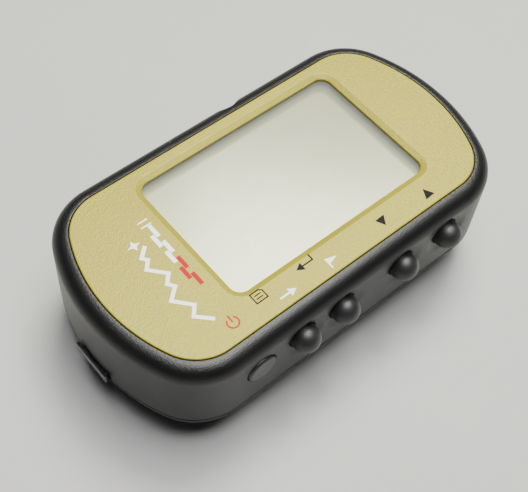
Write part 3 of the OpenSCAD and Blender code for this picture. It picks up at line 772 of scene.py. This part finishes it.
door_gap = 0.2 * mm
seat_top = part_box("door_gasket")[1].z
hinge_x = 26.8 * mm
hinge_z = 1.3 * mm
pocket_r = 1.6 * mm
hook_y = 7 * mm
cavity = block("cavity", (-24 * mm, -11.1 * mm, -mm), (23.4 * mm, 11.1 * mm, 12.8 * mm), 0.4 * mm)
roof = block("roof", (-25 * mm, -12.1 * mm, floor_z - 0.4 * mm), (24.4 * mm, 12.1 * mm, 13.8 * mm), 0.6 * mm)
combine(rear_shell, roof, "UNION")
combine(rear_shell, cavity, "DIFFERENCE")
seat = block("seat", (door_low.x - door_gap, door_low.y - door_gap, -mm),
    (hinge_x - pocket_r, door_high.y + door_gap, seat_top), 0)
combine(rear_shell, seat, "DIFFERENCE")
for sy in (-1, 1):
    pocket = block("pocket", (hinge_x - pocket_r - 0.1 * mm, sy * hook_y - 2.3 * mm, -mm),
        (hinge_x + pocket_r, sy * hook_y + 2.3 * mm, hinge_z + pocket_r), 0)
    combine(rear_shell, pocket, "DIFFERENCE")
latch_hole = block("latch_hole", (-28.4 * mm, -3.4 * mm, -mm), (-25.4 * mm, 3.4 * mm, 10 * mm), 0)
combine(rear_shell, latch_hole, "DIFFERENCE")
blade_slot = block("blade_slot", (shell_low.x - mm, -3.4 * mm, tab_low.z - tab_gap),
    (-28.3 * mm, 3.4 * mm, 9 * mm), 0)
combine(rear_shell, blade_slot, "DIFFERENCE")
tab_slot = block("tab_slot", (shell_low.x - mm, tab_low.y - tab_gap, tab_low.z - tab_gap),
    (shell_low.x + wall, tab_high.y + tab_gap, 9 * mm), 0)
combine(rear_shell, tab_slot, "DIFFERENCE")
screw_x = 31.6 * mm
screw_y = 8.6 * mm
for sx in (-1, 1):
    for sy in (-1, 1):
        counterbore = lathe("counterbore", (sx * screw_x, sy * screw_y, deck_z),
            [(0, -mm), (2.3 * mm, -mm), (2.1 * mm, 0), (1.9 * mm, 0.15 * mm), (1.9 * mm, 1.4 * mm),
            (0, 1.4 * mm)],
            (0, 0, 1), steps=40)
        combine(rear_shell, counterbore, "DIFFERENCE")
for sy in (-1, 1):
    rib = lathe("rib", (hinge_x, sy * hook_y, hinge_z),
        [(0, -2.5 * mm), (0.7 * mm, -2.5 * mm), (0.7 * mm, 2.5 * mm), (0, 2.5 * mm)], (0, 1, 0), steps=32)
    combine(rear_shell, rib, "UNION")
even_light(rear_shell)


def bare_black():
    """Moulded nylon blend with a spark-eroded texture, a little greyer where fingers rub it."""
    material, place = finish("moulded_black", Specular_IOR_Level=0.4)
    rubbed = place.noise(11 * mm, 3)
    eroded = place.cells(0.28 * mm, "Distance")
    grain = place.noise(0.14 * mm, 2)
    drive(material, Base_Color=rubbed.blend((0.012, 0.012, 0.013), (0.022, 0.022, 0.023)))
    drive(material, Roughness=0.46 + 0.14 * rubbed)
    drive(material, Normal=(0.6 * eroded + 0.4 * grain).bump(0.05 * mm))
    return material


moulded = bare_black()
done(rear_shell, moulded, "case", "black_plastic", "back_case")


# Battery door: a moulded plate that closes the compartment flush with the bulge. Two hooks at one end
# turn on the shell's rib, a post at the other end takes the latch, and ridges give the thumb a grip.

door_t = 1.5 * mm
hook_r = 1.3 * mm
plate_right = 24.6 * mm
door = rounded_slab("door", (door_low.x + plate_right) / 2, 0, plate_right - door_low.x,
    door_high.y - door_low.y, mm, 0, door_t, 0.2 * mm)
for sy in (-1, 1):
    arm = block("arm", (plate_right - mm, sy * hook_y - 2 * mm, 0.02 * mm),
        (hinge_x, sy * hook_y + 2 * mm, door_t - 0.02 * mm), 0)
    combine(door, arm, "UNION")
    hook = lathe("hook", (hinge_x, sy * hook_y, hinge_z), [(0, -2 * mm), (hook_r - 0.2 * mm, -2 * mm),
        (hook_r, -1.8 * mm), (hook_r, 1.8 * mm), (hook_r - 0.2 * mm, 2 * mm), (0, 2 * mm)],
        (0, 1, 0), steps=48)
    combine(door, hook, "UNION")
    rib_hole = lathe("rib_hole", (hinge_x, sy * hook_y, hinge_z), [(0, -4 * mm), (0.75 * mm, -4 * mm),
        (0.75 * mm, 4 * mm), (0, 4 * mm)], (0, 1, 0), steps=32)
    combine(door, rib_hole, "DIFFERENCE")
    mouth = block("mouth", (hinge_x, sy * hook_y - 4 * mm, hinge_z + 0.2 * mm),
        (hinge_x + 2 * mm, sy * hook_y + 4 * mm, hinge_z + 2 * mm), 0)
    combine(door, mouth, "DIFFERENCE")
post_x = door_low.x + 0.6 * mm
post = block("post", (post_x, -2.6 * mm, door_t - 0.1 * mm),
    (post_x + 1.2 * mm, 2.6 * mm, door_high.z), 0.2 * mm)
combine(door, post, "UNION")
catch_z = tab_low.z - 0.05 * mm
catch = block("catch", (post_x - mm, -4 * mm, catch_z), (post_x + 0.5 * mm, 4 * mm, catch_z + 1.3 * mm), 0)
combine(door, catch, "DIFFERENCE")
for i in range(5):
    groove_x = door_low.x + 2.3 * mm + 1.4 * mm * i
    cut = lathe("grip", (groove_x, 0, -0.05 * mm),
        [(0, -5 * mm), (0.35 * mm, -4.8 * mm), (0.35 * mm, 4.8 * mm), (0, 5 * mm)], (0, 1, 0), steps=20)
    combine(door, cut, "DIFFERENCE")
panel = block("panel", (-15 * mm, -9 * mm, -mm), (20 * mm, 9 * mm, 0.25 * mm), 0.2 * mm)
combine(door, panel, "DIFFERENCE")
even_light(door)
done(door, moulded, "battery_door", "black_plastic", "battery_door")


# Latch: a slide in polished black acetal. Its blade runs in a slot through the end wall, and only
# the thin lip that the thumb pulls stands outside.

blade = block("latch", (tab_low.x + 0.3 * mm, -3.2 * mm, tab_low.z + 0.01 * mm),
    (tab_high.x, 3.2 * mm, tab_low.z + 0.99 * mm), 0.12 * mm)
lip = block("lip", tab_low, (tab_low.x + 0.5 * mm, tab_high.y, tab_high.z), 0.14 * mm, 4)
combine(blade, lip, "UNION")
even_light(blade)


def polished_black():
    """Polished acetal with faint rub marks across the lip."""
    material, place = finish("polished_black", IOR=1.9)
    rubs = place.stretch(1, 0.2, 1).noise(0.4 * mm, 3)
    drive(material, Base_Color=rubs.blend((0.008, 0.008, 0.009), (0.02, 0.02, 0.021)))
    drive(material, Roughness=0.12 + 0.14 * rubs)
    return material


done(blade, polished_black(), "door_latch", "gloss_black", "door_latch")


# Port cover: a silicone flap on a living hinge along its lower edge. A plug on its back fills the
# socket's mouth, and a shallow nail notch under the scallop lets it be pulled open.

cover_x = (cover_low.x + cover_high.x) / 2
cover_t = mm
cover_y = shell_high.y
pivot_z = cover_low.z + cover_t / 2
flap = block("port_cover", (cover_low.x, cover_y - cover_t, pivot_z - 0.3 * mm),
    (cover_high.x, cover_y, cover_high.z), 0.22 * mm)
roll = lathe("roll", (cover_x, cover_y - cover_t / 2, pivot_z), [(0, -7 * mm), (0.35 * mm, -7 * mm),
    (0.5 * mm, -6.85 * mm), (0.5 * mm, 6.85 * mm), (0.35 * mm, 7 * mm), (0, 7 * mm)], (1, 0, 0), steps=32)
combine(flap, roll, "UNION")
mouth_plug = block("mouth_plug", (cover_x - 3.2 * mm, cover_low.y, cover_high.z - 5.1 * mm),
    (cover_x + 3.2 * mm, cover_y - cover_t + 0.1 * mm, cover_high.z - 2.5 * mm), 0.2 * mm)
combine(flap, mouth_plug, "UNION")
nail = lathe("nail", (cover_x, cover_y + 2.1 * mm, cover_high.z + 0.5 * mm), arc(0, 0, 2.5 * mm, -90, 90, 24),
    (0, 0, 1), steps=48)
combine(flap, nail, "DIFFERENCE")
crease = lathe("crease", (cover_x, cover_y + 0.1 * mm, pivot_z + 0.75 * mm),
    [(0, -8 * mm), (0.25 * mm, -8 * mm), (0.25 * mm, 8 * mm), (0, 8 * mm)], (1, 0, 0), steps=20)
combine(flap, crease, "DIFFERENCE")
even_light(flap)
done(flap, silicone, "usb_cover", "key_rubber", "usb_cover")


# Data socket: a nickel-plated shell folded from strip, with a black tongue that carries five gold
# contacts. It is soldered to the underside of the board.

socket_low, socket_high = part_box("usb_socket")
folded = block("data_socket", socket_low, socket_high, 0.5 * mm, 4)
hollow = block("hollow", (socket_low.x + 0.3 * mm, socket_low.y + 0.6 * mm, socket_low.z + 0.3 * mm),
    (socket_high.x - 0.3 * mm, socket_high.y + mm, socket_high.z - 0.3 * mm), 0.35 * mm)
combine(folded, hollow, "DIFFERENCE")
even_light(folded)


def metal(name, colour, grain=(1, 1, 1), rough=0.25):
    """Bare or plated metal with fine drawn lines and slight staining."""
    material, place = finish(name, Metallic=1.0)
    lines = place.stretch(*grain).noise(0.12 * mm, 3)
    stain = place.noise(3 * mm, 2)
    darker = [0.72 * c for c in colour]
    drive(material, Base_Color=(0.5 * lines + 0.3 * stain).blend(colour, darker))
    drive(material, Roughness=rough + 0.14 * lines + 0.08 * stain)
    drive(material, Normal=lines.bump(0.008 * mm))
    return material


nickel = metal("nickel", (0.66, 0.64, 0.6), (1, 0.15, 1))
done(folded, nickel, "case", "socket_steel", "usb_socket")
socket_z = (socket_low.z + socket_high.z) / 2
tongue = block("socket_tongue", (cover_x - 2.2 * mm, socket_low.y + 0.5 * mm, socket_z - 0.35 * mm),
    (cover_x + 2.2 * mm, socket_high.y - mm, socket_z + 0.35 * mm), 0.1 * mm)


def black_epoxy():
    """Moulded epoxy: near black, with a fine sandy skin."""
    material, place = finish("black_epoxy", Specular_IOR_Level=0.4)
    skin = place.noise(0.1 * mm, 2)
    cloud = place.noise(0.9 * mm, 2)
    drive(material, Base_Color=cloud.blend((0.014, 0.014, 0.016), (0.03, 0.03, 0.032)))
    drive(material, Roughness=0.42 + 0.2 * skin)
    drive(material, Normal=skin.bump(0.01 * mm))
    return material


epoxy = black_epoxy()
done(tongue, epoxy, "case", "chip_black")
pins = []
for i in range(-2, 3):
    pin_x = cover_x + 0.8 * mm * i
    pins.append(block("pin", (pin_x - 0.2 * mm, socket_low.y + 0.6 * mm, socket_z - 0.42 * mm),
        (pin_x + 0.2 * mm, socket_high.y - 1.3 * mm, socket_z - 0.3 * mm), 0.03 * mm))
join(*pins)
pins[0].name = "socket_contacts"
pins[0].data.name = "socket_contacts"
gold_contact = metal("gold_flash", (0.9, 0.66, 0.24), (1, 0.15, 1), 0.2)
done(pins[0], gold_contact, "case", "socket_steel")


# Strap bars: stainless spring bars, a tube crimped over two sprung tips that snap into the lugs.
# They are turned here with the crimps, the shoulders and the small grooves that a tool grips.

steel = metal("stainless", (0.6, 0.61, 0.62), (1, 0.2, 1), 0.22)
for side in ("left", "right"):
    low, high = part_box("strap_bar_" + side)
    half = (high.y - low.y) / 2
    tube = half - 1.4 * mm
    r = (high.z - low.z) / 2
    tip = 0.4 * mm
    neck = r - 0.1 * mm
    right_half = [(r, 0), (r, tube - 1.7 * mm), (neck, tube - 1.6 * mm), (neck, tube - 1.3 * mm),
        (r, tube - 1.2 * mm), (r, tube - 0.2 * mm), (r - 0.15 * mm, tube), (tip + 0.05 * mm, tube),
        (tip, tube + 0.05 * mm), (tip, half - 0.15 * mm), (tip - 0.15 * mm, half), (0, half)]
    left_half = [(radius, -along) for radius, along in reversed(right_half[1:])]
    bar = lathe("spring_bar_" + side, (low + high) / 2, left_half + right_half, (0, 1, 0), steps=40)
    smooth(bar)
    done(bar, steel, "case", "bar_steel", "strap_bar_" + side)


# Screws: four small pan-head screws with cross recesses, zinc plated and blackened slightly by
# handling. They clamp the two shells together through the posts.

zinc = metal("zinc_plate", (0.5, 0.5, 0.49), (1, 1, 1), 0.3)
screws = []
for sx in (-1, 1):
    for sy in (-1, 1):
        head_z = screws_low.z
        head = [(0, 0), (0.9 * mm, 0), (1.35 * mm, 0.12 * mm), (1.62 * mm, 0.42 * mm), (1.7 * mm, 0.75 * mm),
            (1.7 * mm, 1.3 * mm), (mm, 1.3 * mm), (mm, 8.6 * mm), (0.6 * mm, 9.3 * mm), (0, 9.3 * mm)]
        screw = lathe("screw", (sx * screw_x, sy * screw_y, head_z), head, (0, 0, 1), steps=40)
        for length, width in ((2 * mm, 0.42 * mm), (0.42 * mm, 2 * mm)):
            bit = block("bit", (sx * screw_x - length / 2, sy * screw_y - width / 2, head_z - mm),
                (sx * screw_x + length / 2, sy * screw_y + width / 2, head_z + 0.7 * mm), 0)
            combine(screw, bit, "DIFFERENCE")
        smooth(screw)
        screws.append(screw)
join(*screws)
screws[0].name = "shell_screws"
screws[0].data.name = "shell_screws"
done(screws[0], zinc, "case", "bar_steel", "case_screws")


# Cells: two AAA cells side by side, pointing opposite ways. Each is a steel can in a printed jacket
# that is crimped over the ends, with a bright nub and a flat base.

def cell_jacket(name, nub_end, direction):
    """Printed jacket: a copper band near the nub, a dark body, and bare steel at both ends."""
    material, place = finish(name, IOR=1.5)
    along = (place.axis("X") - nub_end) * direction * -1
    steel_end = 1 - along.step(1.4 * mm, 1.45 * mm) * (1 - along.step(43.4 * mm, 43.45 * mm))
    band = 1 - along.step(11 * mm, 11.1 * mm)
    stripe = along.step(11.6 * mm, 11.65 * mm) * (1 - along.step(12.1 * mm, 12.15 * mm))
    scuff = place.stretch(0.3, 1, 1).noise(1.2 * mm, 3)
    body = band.blend((0.03, 0.045, 0.032), (0.5, 0.24, 0.085))
    printed_body = stripe.blend(body, (0.7, 0.68, 0.6))
    worn = (0.25 * scuff).blend(printed_body, (0.3, 0.3, 0.28))
    drive(material, Base_Color=steel_end.blend(worn, (0.6, 0.6, 0.58)))
    drive(material, Metallic=0.3 + 0.7 * steel_end)
    drive(material, Roughness=0.24 + 0.2 * scuff)
    return material


for name, direction in (("battery_a", 1), ("battery_b", -1)):
    low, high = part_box(name)
    r = (high.z - low.z) / 2
    length = high.x - low.x
    nub_x = high.x if direction > 0 else low.x
    cell_profile = [(0, 0), (1.5 * mm, 0), (1.9 * mm, 0.25 * mm), (1.9 * mm, 0.9 * mm), (3.4 * mm, 0.95 * mm),
        (3.7 * mm, 1.2 * mm), (4.6 * mm, 1.2 * mm), (r - 0.35 * mm, 0.85 * mm), (r - 0.05 * mm, 1.1 * mm),
        (r, 1.6 * mm), (r, 2.2 * mm), (r - 0.12 * mm, 2.6 * mm), (r, 3 * mm), (r, length - 0.7 * mm),
        (r - 0.1 * mm, length - 0.3 * mm), (r - 0.5 * mm, length - 0.05 * mm),
        (r - 0.9 * mm, length - 0.2 * mm),
        (3.6 * mm, length - 0.25 * mm), (3.3 * mm, length), (0, length)]
    cell = lathe(name.replace("battery", "cell"), (nub_x, (low.y + high.y) / 2, (low.z + high.z) / 2),
        cell_profile, (-direction, 0, 0), steps=64)
    smooth(cell, 40)
    done(cell, cell_jacket("jacket_" + name[-1], nub_x, direction), "case", "cell_jacket", name)


# Contacts: nickel-plated spring steel. The negative ends press on tapered coil springs riveted to
# their plates, and the positive ends on flat plates.

springs_low, springs_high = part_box("spring_contacts")
plates_low, plates_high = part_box("plate_contacts")
cell_y = (cell_low.y + cell_high.y) / 2
cell_z = (cell_low.z + cell_high.z) / 2
contact_half = 4.2 * mm
contact_t = 0.4 * mm


def contact_plate(name, x, y):
    return block(name, (x, y - contact_half, cell_z - contact_half),
        (x + contact_t, y + contact_half, cell_z + contact_half), 0.12 * mm)


spring_pieces = []
for x, y, direction in ((springs_low.x, cell_y, 1), (springs_high.x, -cell_y, -1)):
    spring_pieces.append(contact_plate("spring_plate", x - (contact_t if direction < 0 else 0), y))
    bpy.ops.object.select_all(action="DESELECT")
    bpy.ops.mesh.primitive_circle_add(vertices=10, radius=0.28 * mm)
    coil = bpy.context.object
    bpy.ops.object.mode_set(mode="EDIT")
    bpy.ops.mesh.select_all(action="SELECT")
    bpy.ops.transform.rotate(value=math.pi / 2, orient_axis="X", center_override=(0, 0, 0))
    bpy.ops.transform.translate(value=(2.6 * mm, 0, 0))
    leave_edit()
    use(coil, "SCREW", steps=36, render_steps=36, iterations=3, screw_offset=0.5 * mm, axis="Z",
        angle=math.tau)
    use(coil, "SIMPLE_DEFORM", deform_method="TAPER", factor=-0.3, deform_axis="Z")
    bpy.ops.object.mode_set(mode="EDIT")
    pick("EDGE", lambda centre, part: part.is_boundary)
    bpy.ops.mesh.edge_face_add()
    weld()
    bpy.ops.transform.rotate(value=-direction * math.pi / 2, orient_axis="Y", center_override=(0, 0, 0))
    bpy.ops.transform.translate(value=(x + direction * (contact_t + 0.25 * mm), y, cell_z))
    leave_edit()
    smooth(coil, 60)
    spring_pieces.append(coil)
join(*spring_pieces)
spring_pieces[0].name = "coil_contacts"
spring_pieces[0].data.name = "coil_contacts"
done(spring_pieces[0], nickel, "case", "spring_steel", "spring_contacts")
flat_pieces = [contact_plate("flat_plate", plates_high.x - contact_t, cell_y),
    contact_plate("flat_plate", plates_low.x, -cell_y)]
join(*flat_pieces)
flat_pieces[0].name = "flat_contacts"
flat_pieces[0].data.name = "flat_contacts"
done(flat_pieces[0], nickel, "case", "spring_steel", "plate_contacts")


# Seals: a red silicone ring in the door's seat, a black cord in the joint between the shells, and
# a foam frame under the lens. They keep their plain moulded shape, so the designed parts are used.

def silicone_skin(name, colour):
    """Moulded silicone with a faint bloom and dust."""
    material, place = finish(name, Specular_IOR_Level=0.45)
    bloom = place.noise(1.5 * mm, 3)
    drive(material, Base_Color=(0.5 * bloom).blend(colour, [0.7 * c + 0.06 for c in colour]))
    drive(material, Roughness=0.4 + 0.2 * bloom)
    drive(material, Normal=place.noise(0.12 * mm).bump(0.01 * mm))
    return material


def dress(node, material):
    """Gives a designed part its finish."""
    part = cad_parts[node]
    part.data.materials.clear()
    part.data.materials.append(material)


dress("door_gasket", silicone_skin("red_silicone", (0.3, 0.035, 0.025)))
dress("case_gasket", silicone_skin("black_silicone", (0.02, 0.02, 0.02)))
dress("lens_gasket", silicone_skin("foam_frame", (0.03, 0.03, 0.032)))


# Display pack: a white frame clips the glass over its light guide, and an amber flex cable folds
# down to a connector on the board.

def mould(name, colour, rough=0.35, **fixed):
    """A plain moulding with a slight cloudiness and a fine sheen of flow marks."""
    material, place = finish(name, **fixed)
    cloud = place.noise(5 * mm, 2)
    flow = place.stretch(0.3, 1, 1).noise(0.8 * mm, 3)
    drive(material, Base_Color=(0.6 * cloud).blend(colour, [0.82 * c for c in colour]))
    drive(material, Roughness=rough + 0.14 * flow)
    return material


def flex_film():
    """Amber film over copper tracks that run down to the plug."""
    material, place = finish("amber_flex", IOR=1.6)
    tracks = (place.axis("Y") * (1 / (0.5 * mm))).fraction().step(0.42, 0.5)
    drive(material, Base_Color=tracks.blend((0.5, 0.2, 0.035), (0.62, 0.34, 0.09)))
    drive(material, Roughness=0.25 + 0.1 * place.noise(mm))
    return material


white_moulding = mould("white_frame", (0.78, 0.78, 0.74))
dress("lcd_frame", white_moulding)
dress("lcd_connector", mould("cream_plug", (0.72, 0.68, 0.56)))
dress("light_guide", mould("light_guide_clear", (0.85, 0.9, 0.84), 0.08, IOR=1.49))
dress("lcd_flex", flex_film())


# Board: a green solder-masked laminate with copper tracks under the mask. It carries the receiver
# under its tin shield, the ceramic antenna, the switches, the sensor, the buzzer and the spare cell.

def solder_mask():
    """Green lacquer over tracks, with tinned dots where the vias come through."""
    material, place = finish("solder_mask", IOR=1.5)
    lanes = place.noise(2.2 * mm, 1)
    tracks = (lanes * 18).fraction().step(0.55, 0.62)
    vias = 1 - place.cells(1.7 * mm).step(0.12, 0.15)
    green = tracks.blend((0.008, 0.075, 0.035), (0.02, 0.16, 0.065))
    drive(material, Base_Color=vias.blend(green, (0.6, 0.58, 0.5)))
    drive(material, Metallic=0.8 * vias)
    drive(material, Roughness=0.22 + 0.12 * lanes)
    drive(material, Normal=(tracks + vias).bump(0.02 * mm))
    return material


tin = metal("tinned_sheet", (0.62, 0.62, 0.6), (0.2, 1, 1), 0.3)
dress("main_board", solder_mask())
dress("rf_shield", tin)
dress("board_chips", epoxy)
dress("buzzer", epoxy)
dress("tactile_switches", epoxy)
dress("pressure_sensor", tin)
dress("backup_cell", nickel)
dress("gps_antenna", mould("fired_ceramic", (0.58, 0.5, 0.36), 0.5))
dress("keypad_web", silicone)


# Stage: a pale floor that the unit lies on, a soft key light from the far right side, a larger ceiling
# light overhead, and the camera close by, above the near left corner.

bpy.ops.object.select_all(action="DESELECT")
bpy.ops.mesh.primitive_plane_add(size=3)
floor = bpy.context.object
floor.name = "floor"
floor_paint, floor_place = finish("floor_paper")
drive(floor_paint, Base_Color=floor_place.noise(40 * mm).blend((0.37, 0.37, 0.365), (0.4, 0.4, 0.395)))
drive(floor_paint, Roughness=0.6 + 0.1 * floor_place.noise(2 * mm))
floor.data.materials.append(floor_paint)


def soft_light(name, place, target, width, height, power, colour=(1, 1, 1)):
    lamp = bpy.data.lights.new(name, "AREA")
    lamp.shape = "RECTANGLE"
    lamp.size = width
    lamp.size_y = height
    lamp.energy = power
    lamp.color = colour
    light = bpy.data.objects.new(name, lamp)
    bpy.context.scene.collection.objects.link(light)
    light.location = place
    light.rotation_euler = (Vector(target) - Vector(place)).to_track_quat("-Z", "Y").to_euler()
    return light


soft_light("key_light", (0.22, 0.155, 0.57), (0, 0, 0.02), 0.24, 0.24, 5.5, (1, 1, 0.84))
soft_light("ceiling_light", (0.07, -0.03, 0.7), (0, 0, 0.01), 0.45, 0.45, 9.5)
world = bpy.data.worlds.new("studio")
bpy.context.scene.world = world
world.use_nodes = True
world.node_tree.nodes["Background"].inputs["Color"].default_value = (0.9, 0.93, 1, 1)
world.node_tree.nodes["Background"].inputs["Strength"].default_value = 0.06

camera_place = Vector((-70.97, -68.08, 154.1)) * mm
camera_target = Vector((-8.887, -6.673, 22.9)) * mm
camera_roll = math.radians(6.164)
camera_data = bpy.data.cameras.new("camera")
camera_data.lens = 69.9
camera_data.sensor_width = 36
camera = bpy.data.objects.new("camera", camera_data)
bpy.context.scene.collection.objects.link(camera)
camera.location = camera_place
aim = (camera_target - camera_place).to_track_quat("-Z", "Y")
camera.rotation_mode = "QUATERNION"
camera.rotation_quaternion = aim @ Quaternion((0, 0, 1), camera_roll)
bpy.context.scene.camera = camera
